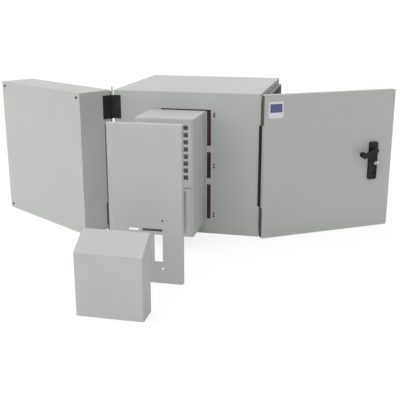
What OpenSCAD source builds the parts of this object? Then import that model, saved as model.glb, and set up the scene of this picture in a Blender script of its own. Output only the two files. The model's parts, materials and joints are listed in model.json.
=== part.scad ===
// Swing-out equipment cabinet for a pole or wall: a shallow wall section, a deep main
// section that swings on it, a hinged door, and a cooling unit on the side wall with its
// front shroud and rain hood taken off and stood on the floor in front.
// Millimetres. Origin at the centre of the main section's underside, +X towards the door,
// +Y away from the cooling unit, +Z up.

/* [Main section] */
// Width, from the swing end to the door end
cab_w = 630; // [600:5:760]
// Depth, from the cooling side to the far side
cab_d = 616; // [600:4:720]
// Height
cab_h = 610; // [600:5:760]
// Thickness of the folded sheet
sheet = 2; // [1.5:0.25:2.5]
// Outside radius of the long folds
fold_r = 4; // [3:0.5:8]
// Width of the flange round the swing end
swing_flange = 40; // [30:1:60]
// Distance of the door's sealing lip from the outside faces
lip_inset = 26; // [24:1:34]
// Height of the sealing lip above the door-end flange
lip_out = 15; // [10:0.5:18]

/* [Wall section] */
// Depth of the wall section
wall_depth = 160; // [120:5:220]
// Width of its rim flange
wall_rim = 24; // [20:1:35]
// Gap that its gasket fills when the cabinet is shut
swing_gap = 12; // [10:0.5:16]
// Distance of the wall fixings from the upright edges
fixing_in_y = 23; // [18:1:60]
// Distance of the wall fixings from the top and the bottom
fixing_in_z = 20; // [18:1:60]
// Diameter of the wall fixing holes
fixing_d = 11; // [7:0.5:14]
// Width of the gasket strips
gasket_w = 12; // [8:1:14]
// How far the cabinet is swung open
swing_open = 57.5; // [0:0.5:100]

/* [Swing hinges] */
// Height of each swing hinge
swing_hinge_h = 99; // [70:1:130]
// Distance of the upper hinge below the top, and of the lower one above the bottom
swing_hinge_end = 22; // [15:1:60]
// Width of the leaf on the main section
swing_leaf_w = 30; // [20:1:45]
// Width of the leaf on the wall section
swing_wall_leaf_w = 42; // [20:1:60]
// Thickness of a leaf
swing_leaf_t = 3; // [2:0.25:4]
// Radius of the knuckles
swing_knuckle_r = 6; // [5.5:0.25:6.25]
// Radius of the lift-out pins
swing_pin_r = 3.5; // [2.5:0.25:4]
// Length of pin that stands above the top knuckle
swing_pin_up = 36; // [10:1:50]

/* [Door] */
// Depth of the door pan
door_depth = 25; // [22:0.5:35]
// Gap between the door's rim and the cabinet
door_gap = 2; // [1.5:0.25:3]
// How much the door is shorter than the cabinet at the top and at the bottom
door_trim = 2; // [1:0.5:5]
// Width of the return flange round the door's rim
door_return = 13; // [8:1:15]
// How far the door is swung open
door_open = 57.5; // [0:0.5:110]
// Height of the door hinge
door_hinge_h = 344; // [200:4:480]
// Height of the door hinge's middle above the cabinet's middle
door_hinge_up = 4; // [-20:1:20]
// Width of a door hinge leaf on its face
door_leaf_w = 6; // [4:0.5:12]
// Thickness of a door hinge leaf
door_leaf_t = 1.5; // [1:0.25:2]
// Radius of the door hinge's knuckles
door_knuckle_r = 3; // [2.5:0.25:3.5]
// Radius of the door hinge's pin
door_pin_r = 1.5; // [1:0.25:1.75]

/* [Handle] */
// Distance of the handle's spindle from the door's free edge
spindle_from_edge = 96; // [80:1:110]
// Height of the spindle above the cabinet's middle
spindle_up = 45; // [-60:1:80]
// Radius of the spindle
spindle_r = 6; // [5:0.5:7]
// Width of the handle plate
plate_w = 40; // [34:1:48]
// Length of the handle plate
plate_l = 164; // [150:1:200]
// Thickness of the handle plate
plate_t = 12; // [10:0.5:16]
// Distance of the spindle below the handle plate's top
plate_top = 35; // [25:1:45]
// Length of the lever, from the spindle to the knob
lever_l = 62; // [48:1:70]
// Radius of the knob
knob_r = 11; // [8:0.5:14]
// How far the lever is turned up from its locked place
lever_turn = 72; // [60:0.5:90]
// Distance of the lock below the spindle
lock_drop = 56; // [46:1:70]
// Distance of the lock from the spindle towards the door's free edge
lock_side = 7; // [0:0.5:7]
// Radius of the lock barrel
lock_r = 8; // [7:0.25:9]
// Length of lock barrel that stands off the handle plate
lock_out = 9; // [4:0.5:10]
// Length of the latch tongue
tongue_l = 80; // [70:1:85]

/* [Side openings] */
// Width of the openings in the side wall
vent_w = 214; // [180:2:240]
// Height of the upper and the lower opening
vent_end_h = 152; // [120:1:160]
// Height of the middle opening
vent_mid_h = 113; // [80:1:120]
// Height of the bars between the openings
vent_bar = 27; // [20:1:30]
// Distance of the openings' middle below the cabinet's middle
vent_down = 1.5; // [-6:0.5:6]

/* [Cooling unit] */
// Width of the cooling unit
unit_w = 234; // [210:2:260]
// Depth of the cooling unit
unit_d = 223; // [205:1:260]
// Height of the cooling unit
unit_h = 478; // [450:2:500]
// Distance of its middle plane from the cabinet's middle plane
unit_x = -33; // [-45:1:-10]
// Distance of its middle below the cabinet's middle
unit_down = 10; // [0:0.5:12]
// Thickness of its sheet
unit_t = 1.5; // [1:0.25:2]
// Radius of its front edges
unit_r = 10; // [6:0.5:16]
// Height of the cap's lip
cap_lip = 10; // [6:0.5:16]
// Height of the shelf between its two chambers
shelf_z = 202; // [195:1:215]
// Number of louvres
louvre_n = 8; // [4:1:8]
// Height of a louvre slot
louvre_h = 19; // [10:0.5:20]
// Distance from one louvre to the next
louvre_pitch = 28.3; // [24:0.1:30]
// Width of a louvre slot
louvre_w = 193; // [140:1:200]
// Side of the square fan opening
fan_open = 175; // [150:1:178]
// Radius of the fan
fan_r = 70; // [58:0.5:72]
// Number of fan blades
blade_n = 5; // [3:1:7]
// Pitch of the fan blades
blade_pitch = 32; // [20:1:40]

/* [Shroud and hood] */
// Width of the front shroud
shroud_w = 268; // [262:2:300]
// Height of the front shroud
shroud_h = 573; // [560:1:590]
// Depth of its folded edges
shroud_d = 25; // [15:1:35]
// Width of the edges turned in at its back
shroud_lip = 35; // [32:1:45]
// Width of its window
window_w = 124; // [100:1:150]
// Height of its window
window_h = 100; // [80:1:110]
// Height of the window's lower edge
window_z = 82; // [70:1:90]
// Height of the narrow slot above the window
slot_h = 9; // [6:0.5:11]
// Strip left between the window and the slot
slot_gap = 12; // [8:1:20]
// Width of the rain hood
hood_w = 227; // [200:1:240]
// Depth of the rain hood
hood_d = 85; // [60:1:110]
// Height of the hood's front
hood_front_h = 215; // [180:1:230]
// Height of the hood's back
hood_h = 270; // [250:1:300]
// Width of the hood's turned-in edges
hood_lip = 15; // [10:1:20]
// Where the shroud's middle stands
shroud_x = -4; // [-20:1:20]
// Distance of the shroud's front in front of the side wall
shroud_out = 580; // [500:5:640]
// Where the hood's middle stands
hood_x = -29.5; // [-40:0.5:0]
// Distance of the hood's front in front of the side wall
hood_out = 899; // [850:1:940]

/* [Rack rails] */
// Distance between the rails' hole rows
rack_pitch = 465.1; // [465.1:0.1:465.1]
// Distance of each pair of rails from the cabinet's middle
rail_x = 200; // [150:5:240]
// Width of each leg of a rail
rail_leg = 32; // [28:1:38]
// Number of rack units
rack_units = 12; // [8:1:13]

/* [Clearances] */
// Gap between seated pieces of one body
seat_gap = 0.2; // [0.1:0.05:0.3]
// Gap between pieces that pass each other
run_gap = 0.35; // [0.3:0.05:0.5]
// Radial play of a pin or a spindle in its bore
bore_play = 0.05; // [0.02:0.01:0.1]

/* [Hidden] */
$fn = 48;
cut = 1;
least_r = 1;
paint = [0.68, 0.70, 0.67];
black = [0.08, 0.08, 0.09];
steel = [0.66, 0.67, 0.69];
foam = [0.13, 0.13, 0.13];
fin_metal = [0.72, 0.73, 0.74];

side_y = -cab_d / 2;
swing_axis = [-cab_w / 2 - swing_gap / 2, side_y - swing_leaf_t];
wall_rim_x = -cab_w / 2 - swing_gap;
wall_back_x = wall_rim_x - wall_depth;
lower_hinge_z = swing_hinge_end;
upper_hinge_z = cab_h - swing_hinge_end - swing_hinge_h;
swing_own_wall = [0, 2, 4];
swing_own_cabinet = [1, 3];
door_count = 11;
door_own_cabinet = [for (k = [0 : 2 : door_count - 1]) k];
door_own_door = [for (k = [1 : 2 : door_count - 1]) k];

door_rim_x = cab_w / 2 + door_gap;
door_face_x = door_rim_x + door_depth;
door_h = cab_h - 2 * door_trim;
door_hinge_z = (cab_h - door_hinge_h) / 2 + door_hinge_up;
door_axis_out = door_knuckle_r + run_gap / 2;
door_axis = [cab_w / 2 + door_gap / 2, side_y - door_axis_out];

spindle_y = cab_d / 2 - spindle_from_edge;
spindle_z = cab_h / 2 + spindle_up;
lock_y = spindle_y + lock_side;
plate_z = spindle_z + plate_top - plate_l / 2;
plate_face_x = door_face_x + plate_t;
lock_z = spindle_z - lock_drop;
plug_r = lock_r - 3;
hole_play = 1;
hub_r = 13;
hub_h = lock_out + 3;
arm_t = 7;
arm_w = 11;
knob_h = 14;
knob_round = 4;
tongue_t = 3;
tongue_w = 20;
tongue_in = 6;
spindle_end = 2;
nut_h = 6;
nut_r = 10;
clamp_t = 4;

vent_z = cab_h / 2 - vent_down - vent_end_h - vent_bar - vent_mid_h / 2;
vent_lows = [vent_z, vent_z + vent_end_h + vent_bar, vent_z + vent_end_h + vent_mid_h + 2 * vent_bar];
vent_heights = [vent_end_h, vent_mid_h, vent_end_h];
unit_z = (cab_h - unit_h) / 2 - unit_down;
unit_front_y = side_y - unit_d;
unit_back_y = side_y - seat_gap;
unit_top_z = unit_z + unit_h;
shelf_top_z = unit_z + shelf_z;
unit_inner_w = unit_w - 2 * unit_t - 2 * seat_gap;
bar_z = [vent_z + vent_end_h + vent_bar / 2, vent_z + vent_end_h + vent_bar * 3 / 2 + vent_mid_h];
bolt_x = 60;
bolt_r = 3;
bolt_hole_r = bolt_r + seat_gap;
fan_up = 2;
fan_z = unit_z + shelf_z / 2 + fan_up;
fan_plate = fan_open + 16;
guard_y = unit_front_y + unit_t + seat_gap;
guard_t = 1.5;
ring_y = guard_y + guard_t + seat_gap;
ring_t = 1.5;
ring_deep = 24;
rotor_y = ring_y + 6;
rotor_deep = 18;
motor_y = rotor_y + rotor_deep + 2;
motor_deep = 40;
motor_r = 30;
shaft_r = 4;
hub_fan_r = 24;
coil_fin = 3;
coil_deep = 25;
louvre_drop = 14;
tray_r = 3;

// A rectangle with round corners, about its centre
module rounded(w, h, r) {
    square([w - 2 * r, h], center = true);
    square([w, h - 2 * r], center = true);
    for (sx = [-1, 1], sy = [-1, 1])
        translate([sx * (w / 2 - r), sy * (h / 2 - r)])
            circle(r);
}

// Draws in Y and Z, thick along X
module along_x(x0, x1) {
    translate([x0, 0, 0])
        rotate([90, 0, 90])
            linear_extrude(x1 - x0)
                children();
}

// Draws in X and Z, thick along Y
module along_y(y0, y1) {
    translate([0, y1, 0])
        rotate([90, 0, 0])
            linear_extrude(y1 - y0)
                children();
}

// Draws in X and Y, thick along Z
module along_z(z0, z1) {
    translate([0, 0, z0])
        linear_extrude(z1 - z0)
            children();
}

// The wall section's place, swung open from shut
module at_wall() {
    translate(swing_axis)
        rotate(swing_open)
            translate(-swing_axis)
                children();
}

// The door's place, swung open from shut
module at_door() {
    translate(door_axis)
        rotate(-door_open)
            translate(-door_axis)
                children();
}

// The lever's place on the door, turned up from locked
module at_lever() {
    at_door()
        translate([0, spindle_y, spindle_z])
            rotate([-lever_turn, 0, 0])
                children();
}

// The outline of a cabinet end, with the same folds all round
module end_outline(inset, h) {
    translate([0, cab_h / 2])
        rounded(cab_d - 2 * inset, h - 2 * inset, max(fold_r - inset, least_r));
}

module end_ring(inset, width, h) {
    difference() {
        end_outline(inset, h);
        translate([0, cab_h / 2])
            square([cab_d - 2 * (inset + width), h - 2 * (inset + width)], center = true);
    }
}

module folded_wrap(h) {
    difference() {
        end_outline(0, h);
        end_outline(sheet, h);
    }
}

// The three side openings, grown outwards by grow
module vent_outline(grow) {
    for (k = [0 : 2])
        translate([-vent_w / 2 - grow, vent_lows[k] - grow])
            square([vent_w + 2 * grow, vent_heights[k] + 2 * grow]);
}

// Upright fixing slots beside the openings
module fixing_slots() {
    slot = [6, 22];
    beside = 14;
    middle = vent_z + vent_end_h + vent_bar + vent_mid_h / 2;
    spread = vent_end_h + vent_bar + vent_mid_h / 2 - slot[1];
    for (sx = [-1, 1], sz = [-1, 0, 1])
        translate([sx * (vent_w / 2 + beside), middle + sz * spread])
            square(slot, center = true);
}

module unit_bolt_holes() {
    for (sx = [-1, 1], z = bar_z)
        translate([unit_x + sx * bolt_x, z])
            circle(bolt_hole_r);
}

module cabinet_shell() {
    color(paint)
        difference() {
            along_x(-cab_w / 2, cab_w / 2)
                folded_wrap(cab_h);
            along_y(side_y - cut, side_y + sheet + cut) {
                vent_outline(0);
                fixing_slots();
                unit_bolt_holes();
            }
        }
}

// Filter mats against the inside of the side wall, one behind each opening
module filter_mats() {
    lap = 5;
    thick = 6;
    color(foam)
        along_y(side_y + sheet + seat_gap, side_y + sheet + seat_gap + thick)
            vent_outline(lap);
}

module door_frame() {
    color(paint) {
        along_x(cab_w / 2 - sheet, cab_w / 2)
            end_ring(sheet + seat_gap, lip_inset - seat_gap, cab_h);
        along_x(cab_w / 2, cab_w / 2 + lip_out)
            end_ring(lip_inset, sheet, cab_h);
    }
}

module swing_frame() {
    color(paint)
        along_x(-cab_w / 2, -cab_w / 2 + sheet)
            end_ring(sheet + seat_gap, swing_flange - sheet - seat_gap, cab_h);
}

// An angle with square holes in the leg that faces the door or the swing end, and a tab at each end
module rack_rail(sx, sy) {
    unit = 44.45;
    steps = [6.35, 22.225, 38.1];
    hole = 9.5;
    z0 = sheet + seat_gap;
    z1 = cab_h - sheet - seat_gap;
    first = (cab_h - rack_units * unit) / 2;
    face_x = sx * rail_x;
    hole_y = sy * rack_pitch / 2;
    color(steel)
        difference() {
            translate([face_x, hole_y, 0])
                scale([sx, sy, 1])
                    union() {
                        along_z(z0, z1) {
                            translate([-sheet, -rail_leg / 2])
                                square([sheet, rail_leg]);
                            translate([-rail_leg, rail_leg / 2 - sheet])
                                square([rail_leg, sheet]);
                        }
                        for (z = [z0, z1 - sheet])
                            along_z(z, z + sheet)
                                translate([-rail_leg, -rail_leg / 2])
                                    square(rail_leg);
                    }
            along_x(face_x - sheet - cut, face_x + sheet + cut)
                for (u = [0 : rack_units - 1], s = steps)
                    translate([hole_y, first + u * unit + s])
                        square(hole, center = true);
        }
}

// One leaf of a hinge about its own axis: plate to +X, knuckles at the numbers in own
module hinge_leaf(own, count, h, reach, thick, stand, knuckle, pin) {
    step = h / count;
    others = [for (k = [0 : count - 1]) if (len(search(k, own)) == 0) k];
    difference() {
        union() {
            translate([0, stand - thick, 0])
                cube([reach, thick, h]);
            for (k = own)
                translate([0, 0, k * step + run_gap / 2])
                    cylinder(r = knuckle, h = step - run_gap);
        }
        for (k = others)
            translate([0, 0, k * step - run_gap / 2])
                cylinder(r = knuckle + run_gap, h = step + run_gap);
        translate([0, 0, -cut])
            cylinder(r = pin + bore_play, h = h + 2 * cut);
    }
}

module swing_leaf(own, width, z) {
    translate([swing_axis[0], swing_axis[1], z])
        hinge_leaf(own, len(swing_own_wall) + len(swing_own_cabinet), swing_hinge_h,
            swing_gap / 2 + width, swing_leaf_t, swing_leaf_t, swing_knuckle_r, swing_pin_r);
}

module swing_leaf_cabinet(z) {
    color(black)
        swing_leaf(swing_own_cabinet, swing_leaf_w, z);
}

module swing_leaf_wall(z) {
    color(black)
        at_wall()
            translate([2 * swing_axis[0], 0, 0])
                mirror([1, 0, 0])
                    swing_leaf(swing_own_wall, swing_wall_leaf_w, z);
}

module swing_pin(z) {
    collar_h = 3;
    collar_r = swing_knuckle_r - 0.5;
    color(steel)
        translate([swing_axis[0], swing_axis[1], z]) {
            cylinder(r = swing_pin_r, h = swing_hinge_h + swing_pin_up);
            translate([0, 0, swing_hinge_h])
                cylinder(r = collar_r, h = collar_h);
        }
}

module door_leaf(own) {
    translate([door_axis[0], door_axis[1], door_hinge_z])
        hinge_leaf(own, door_count, door_hinge_h, door_gap / 2 + door_leaf_w, door_leaf_t,
            door_axis_out, door_knuckle_r, door_pin_r);
}

module door_hinge_cabinet_leaf() {
    color(black)
        translate([2 * door_axis[0], 0, 0])
            mirror([1, 0, 0])
                door_leaf(door_own_cabinet);
}

module door_hinge_door_leaf() {
    color(black)
        at_door()
            door_leaf(door_own_door);
}

module door_hinge_pin() {
    color(steel)
        translate([door_axis[0], door_axis[1], door_hinge_z])
            cylinder(r = door_pin_r, h = door_hinge_h);
}

module wall_shell() {
    color(paint)
        at_wall()
            difference() {
                union() {
                    along_x(wall_back_x, wall_rim_x)
                        folded_wrap(cab_h);
                    along_x(wall_back_x, wall_back_x + sheet)
                        end_outline(0, cab_h);
                    along_x(wall_rim_x - sheet, wall_rim_x)
                        end_ring(0, wall_rim, cab_h);
                }
                along_x(wall_back_x - cut, wall_back_x + sheet + cut)
                    for (sy = [-1, 1], z = [fixing_in_z, cab_h - fixing_in_z])
                        translate([sy * (cab_d / 2 - fixing_in_y), z])
                            circle(d = fixing_d);
            }
}

module wall_gasket() {
    color(foam)
        at_wall()
            along_x(wall_rim_x, -cab_w / 2 - run_gap)
                end_ring((wall_rim - gasket_w) / 2 + sheet, gasket_w, cab_h);
}

module door_panel() {
    color(paint)
        at_door()
            difference() {
                union() {
                    along_x(door_rim_x, door_face_x)
                        folded_wrap(door_h);
                    along_x(door_face_x - sheet, door_face_x)
                        end_outline(0, door_h);
                    along_x(door_rim_x, door_rim_x + sheet)
                        end_ring(0, door_return, door_h);
                }
                along_x(door_face_x - sheet - cut, door_face_x + cut)
                    spindle_and_lock(spindle_r + hole_play, lock_r + hole_play);
            }
}

module spindle_and_lock(spindle_hole, lock_hole) {
    translate([spindle_y, spindle_z])
        circle(spindle_hole);
    translate([lock_y, lock_z])
        circle(lock_hole);
}

module door_gasket() {
    color(foam)
        at_door()
            along_x(cab_w / 2 + lip_out + run_gap, door_face_x - sheet)
                end_ring(lip_inset + sheet / 2 - gasket_w / 2, gasket_w, cab_h);
}

module handle_plate() {
    edge_r = 6;
    rim = 4;
    dish = 3;
    pit_deep = 8;
    pit_drop = 46;
    pit_r = lock_r - 1;
    color(black)
        at_door()
            difference() {
                along_x(door_face_x, plate_face_x)
                    translate([spindle_y, plate_z])
                        rounded(plate_w, plate_l, edge_r);
                along_x(plate_face_x - dish, plate_face_x + cut)
                    translate([spindle_y, plate_z - plate_top / 2])
                        rounded(plate_w - 2 * rim, plate_l - plate_top - 2 * rim, edge_r - rim);
                along_x(door_face_x - cut, plate_face_x + cut)
                    spindle_and_lock(spindle_r + bore_play, lock_r + bore_play);
                along_x(plate_face_x - pit_deep, plate_face_x + cut)
                    translate([lock_y, lock_z - pit_drop])
                        circle(pit_r);
            }
}

module handle_clamp() {
    margin = 14;
    corner_r = 5;
    color(steel)
        at_door()
            along_x(door_face_x - sheet - clamp_t, door_face_x - sheet)
                difference() {
                    translate([spindle_y, (spindle_z + lock_z) / 2])
                        rounded(plate_w, lock_drop + 2 * (lock_r + margin), corner_r);
                    spindle_and_lock(spindle_r + hole_play, lock_r + hole_play);
                }
}

module lock_barrel() {
    color(steel)
        at_door()
            along_x(door_face_x - sheet - clamp_t, plate_face_x + lock_out)
                translate([lock_y, lock_z])
                    difference() {
                        circle(lock_r);
                        circle(plug_r + bore_play);
                    }
}

module lock_plug() {
    key = [1.5, 6];
    key_deep = 5;
    stub = 4;
    color(steel)
        at_door()
            difference() {
                along_x(door_face_x - sheet - clamp_t - stub, plate_face_x + lock_out)
                    translate([lock_y, lock_z])
                        circle(plug_r);
                along_x(plate_face_x + lock_out - key_deep, plate_face_x + lock_out + cut)
                    translate([lock_y, lock_z])
                        square(key, center = true);
            }
}

// Hub, cranked arm and round knob, drawn hanging straight down
module handle_lever() {
    arm_x = plate_face_x + run_gap + hub_h;
    root_w = 2 * hub_r - 4;
    root_z = -3;
    tip_r = arm_w / 2 + 1.5;
    color(black)
        at_lever() {
            along_x(plate_face_x + run_gap, arm_x + arm_t)
                circle(hub_r);
            along_x(arm_x, arm_x + arm_t) {
                polygon([
                    [-root_w / 2, root_z],
                    [root_w / 2, root_z],
                    [arm_w / 2, -lever_l],
                    [-arm_w / 2, -lever_l]
                ]);
                translate([0, -lever_l])
                    circle(tip_r);
            }
            translate([arm_x + arm_t, 0, -lever_l])
                rotate([0, 90, 0])
                    rotate_extrude() {
                        square([knob_r - knob_round, knob_h]);
                        translate([0, knob_round])
                            square([knob_r, knob_h - 2 * knob_round]);
                        for (z = [knob_round, knob_h - knob_round])
                            translate([knob_r - knob_round, z])
                                circle(knob_round);
                    }
        }
}

module handle_spindle() {
    color(steel)
        at_lever()
            along_x(cab_w / 2 - tongue_in - tongue_t - nut_h - spindle_end, plate_face_x + run_gap)
                circle(spindle_r);
}

module latch_tongue() {
    x1 = cab_w / 2 - tongue_in;
    eye_r = tongue_w / 2 + 3;
    step = 4;
    color(steel)
        at_lever()
            along_x(x1 - tongue_t, x1)
                difference() {
                    union() {
                        circle(eye_r);
                        translate([0, -tongue_w / 2])
                            square([tongue_l - step, tongue_w]);
                        translate([0, step - tongue_w / 2])
                            square([tongue_l, tongue_w - 2 * step]);
                    }
                    circle(spindle_r + bore_play);
                }
}

module tongue_nut() {
    x1 = cab_w / 2 - tongue_in - tongue_t;
    color(steel)
        at_lever()
            along_x(x1 - nut_h, x1)
                difference() {
                    circle(nut_r, $fn = 6);
                    circle(spindle_r + bore_play);
                }
}

// Plan of the cooling unit, grown outwards by grow, open past its back where open_back is set
module unit_plan(grow, open_back) {
    r = unit_r + grow;
    front = unit_front_y - grow;
    half = unit_w / 2 + grow;
    back = unit_back_y + (open_back ? cut : 0);
    translate([unit_x - half, front + r])
        square([2 * half, back - front - r]);
    translate([unit_x - half + r, front])
        square([2 * (half - r), r + cut]);
    for (sx = [-1, 1])
        translate([unit_x + sx * (half - r), front + r])
            circle(r);
}

module unit_housing() {
    top = unit_top_z - unit_t - seat_gap;
    seam = 1;
    first = unit_top_z - cap_lip - louvre_h - louvre_drop;
    color(paint) {
        difference() {
            union() {
                along_z(unit_z, top)
                    difference() {
                        unit_plan(0, false);
                        unit_plan(-unit_t, true);
                    }
                along_z(unit_z, unit_z + unit_t)
                    unit_plan(0, false);
            }
            along_y(unit_front_y - cut, unit_front_y + unit_t + cut) {
                for (k = [0 : louvre_n - 1])
                    translate([unit_x - louvre_w / 2, first - k * louvre_pitch])
                        square([louvre_w, louvre_h]);
                translate([unit_x, fan_z])
                    square(fan_open, center = true);
            }
            along_z(shelf_top_z - seam / 2, shelf_top_z + seam / 2)
                difference() {
                    unit_plan(cut, true);
                    unit_plan(-unit_t / 2, true);
                }
        }
        for (k = [0 : louvre_n - 1])
            louvre_flap(first - k * louvre_pitch + louvre_h);
    }
}

// A rain flap that slopes inwards and down from the top of a louvre slot
module louvre_flap(z) {
    side_gap = 1;
    skin = 0.2;
    root = 0.5;
    run = louvre_h * 0.5;
    fall = louvre_h * 0.3;
    half = louvre_w / 2 - side_gap;
    y0 = unit_front_y + skin;
    y1 = unit_front_y + unit_t - skin;
    along_x(unit_x - half, unit_x + half)
        polygon([[y0, z + root], [y1, z + root], [y1 + run, z - fall], [y0 + run, z - fall]]);
}

module unit_cap() {
    grow = seat_gap + unit_t;
    color(paint)
        difference() {
            along_z(unit_top_z - cap_lip, unit_top_z)
                unit_plan(grow, false);
            along_z(unit_top_z - cap_lip - cut, unit_top_z - unit_t)
                unit_plan(seat_gap, true);
        }
}

module unit_back() {
    z0 = unit_z + unit_t + seat_gap;
    z1 = unit_top_z - unit_t - 2 * seat_gap;
    edge_w = 12;
    color(paint)
        along_y(unit_back_y - unit_t, unit_back_y)
            difference() {
                translate([unit_x - unit_inner_w / 2, z0])
                    square([unit_inner_w, z1 - z0]);
                intersection() {
                    vent_outline(0);
                    translate([unit_x - unit_inner_w / 2 + edge_w, z0])
                        square([unit_inner_w - 2 * edge_w, z1 - z0]);
                }
                unit_bolt_holes();
            }
}

module unit_shelf() {
    color(paint)
        along_z(shelf_top_z - unit_t, shelf_top_z)
            difference() {
                unit_plan(-unit_t - seat_gap, false);
                translate([unit_x - unit_w, unit_back_y - unit_t - seat_gap])
                    square([2 * unit_w, unit_d]);
            }
}

module unit_bolts() {
    head_h = 4;
    head_r = 1.9 * bolt_r;
    inside = side_y + sheet;
    reach = 8;
    color(steel)
        for (sx = [-1, 1], z = bar_z)
            translate([unit_x + sx * bolt_x, 0, z]) {
                along_y(unit_back_y - unit_t - reach, inside)
                    circle(bolt_r);
                along_y(inside, inside + head_h)
                    circle(head_r, $fn = 6);
            }
}

// A finned coil between two depths, standing on the shelf
module finned_coil(y0) {
    side_gap = 8;
    head_gap = 6;
    wide = unit_inner_w - 2 * side_gap;
    count = floor(wide / (2 * coil_fin));
    half = coil_fin * (count - 0.5);
    tooth = coil_deep / 4;
    z0 = shelf_top_z + seat_gap;
    z1 = unit_top_z - cap_lip - head_gap;
    along_z(z0, z1)
        translate([unit_x, y0]) {
            translate([-half, tooth])
                square([2 * half, coil_deep - 2 * tooth]);
            for (k = [0 : count - 1])
                translate([-half + 2 * coil_fin * k, 0])
                    square([coil_fin, coil_deep]);
        }
}

module condenser_coil() {
    behind_louvres = 24;
    color(fin_metal)
        finned_coil(unit_front_y + behind_louvres);
}

module evaporator_coil() {
    before_back = 14;
    color(fin_metal)
        finned_coil(unit_back_y - unit_t - before_back - coil_deep);
}

module compressor() {
    can_r = 44;
    can_h = 128;
    dome = 12;
    foot = 4;
    foot_w = 2 * can_r + 10;
    foot_r = 8;
    before_back = 16;
    z0 = unit_z + unit_t + seat_gap;
    color(black)
        translate([unit_x, unit_back_y - unit_t - before_back - can_r, z0]) {
            along_z(0, foot)
                rounded(foot_w, foot_w, foot_r);
            translate([0, 0, foot])
                rotate_extrude() {
                    square([can_r - dome, can_h]);
                    square([can_r, can_h - dome]);
                    translate([can_r - dome, can_h - dome])
                        circle(dome);
                }
        }
}

module fan_guard() {
    ring_w = 2.5;
    rings = 5;
    gap = fan_r / rings;
    hole_r = fan_r + 4;
    spoke = [2 * hole_r + 4, 4];
    color(black)
        along_y(guard_y, guard_y + guard_t)
            translate([unit_x, fan_z]) {
                difference() {
                    square(fan_plate, center = true);
                    circle(hole_r);
                }
                for (k = [1 : rings])
                    difference() {
                        circle(k * gap);
                        circle(k * gap - ring_w);
                    }
                for (a = [45, 135])
                    rotate(a)
                        square(spoke, center = true);
            }
}

module fan_ring() {
    hole_r = fan_r + 3;
    color(steel) {
        along_y(ring_y, ring_y + ring_t)
            translate([unit_x, fan_z])
                difference() {
                    square(fan_plate, center = true);
                    circle(hole_r);
                }
        along_y(ring_y + ring_t, ring_y + ring_deep)
            translate([unit_x, fan_z])
                difference() {
                    circle(hole_r + ring_t);
                    circle(hole_r);
                }
    }
}

module fan_motor() {
    shaft_in = 4;
    color(black)
        translate([unit_x, 0, fan_z]) {
            along_y(motor_y, motor_y + motor_deep)
                circle(motor_r);
            along_y(rotor_y + shaft_in, motor_y)
                circle(shaft_r);
        }
}

module fan_bracket() {
    tall = 36;
    y0 = motor_y + motor_deep;
    color(steel)
        along_y(y0, y0 + sheet)
            translate([unit_x, fan_z])
                square([unit_inner_w, tall], center = true);
}

module fan_rotor() {
    blade_t = 2;
    blade_root = 2;
    boss_t = 3;
    blade_w = rotor_deep / cos(blade_pitch) * 1.25;
    color(black)
        translate([unit_x, 0, fan_z]) {
            difference() {
                along_y(rotor_y, rotor_y + rotor_deep)
                    circle(hub_fan_r);
                along_y(rotor_y + boss_t, rotor_y + rotor_deep + cut)
                    circle(shaft_r + bore_play);
            }
            intersection() {
                along_y(rotor_y, rotor_y + rotor_deep)
                    difference() {
                        circle(fan_r);
                        circle(hub_fan_r - blade_root);
                    }
                for (k = [0 : blade_n - 1])
                    translate([0, rotor_y + rotor_deep / 2, 0])
                        rotate([0, k * 360 / blade_n, 0])
                            rotate([0, 0, blade_pitch])
                                translate([-blade_w, -blade_t / 2, 0])
                                    cube([2 * blade_w, blade_t, fan_r + cut]);
            }
        }
}

module shroud_cut() {
    hole_r = 3.5;
    hole_zs = [window_z - 26, window_z + window_h + slot_gap + slot_h + 31];
    translate([shroud_x - window_w / 2, window_z])
        square([window_w, window_h]);
    translate([shroud_x - window_w / 2, window_z + window_h + slot_gap])
        square([window_w, slot_h]);
    for (z = hole_zs)
        translate([shroud_x + window_w / 2, z])
            circle(hole_r);
}

// Plan of a folded tray from its middle: round outer folds, open at the back between its lips
module tray_plan(w, d, lip) {
    difference() {
        translate([0, d / 2])
            rounded(w, d, tray_r);
        translate([0, d / 2])
            rounded(w - 2 * unit_t, d - 2 * unit_t, tray_r - unit_t);
        translate([-w / 2 + lip, d - unit_t - cut])
            square([w - 2 * lip, unit_t + 2 * cut]);
    }
}

// A tray folded from one sheet: open at the foot, its edges turned in at the back
module front_shroud() {
    face_y = side_y - shroud_out;
    color(paint)
        difference() {
            union() {
                translate([shroud_x, face_y, 0])
                    along_z(0, shroud_h)
                        tray_plan(shroud_w, shroud_d, shroud_lip);
                translate([shroud_x, face_y + shroud_d / 2, 0])
                    along_z(shroud_h - unit_t, shroud_h)
                        rounded(shroud_w, shroud_d, tray_r);
                along_y(face_y + shroud_d - unit_t, face_y + shroud_d)
                    translate([shroud_x - shroud_w / 2 + tray_r, shroud_h - shroud_lip])
                        square([shroud_w - 2 * tray_r, shroud_lip]);
            }
            along_y(face_y - cut, face_y + unit_t + cut)
                shroud_cut();
        }
}

// Side view of the hood, drawn in Y and Z from its front foot
module hood_side(inset) {
    rise = (hood_h - hood_front_h) / hood_d;
    drop = inset * sqrt(1 + rise * rise);
    low = inset > 0 ? -cut : 0;
    deep = hood_d - inset;
    polygon([
        [inset, low],
        [inset, hood_front_h + rise * inset - drop],
        [deep, hood_front_h + rise * deep - drop],
        [deep, low]
    ]);
}

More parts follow.
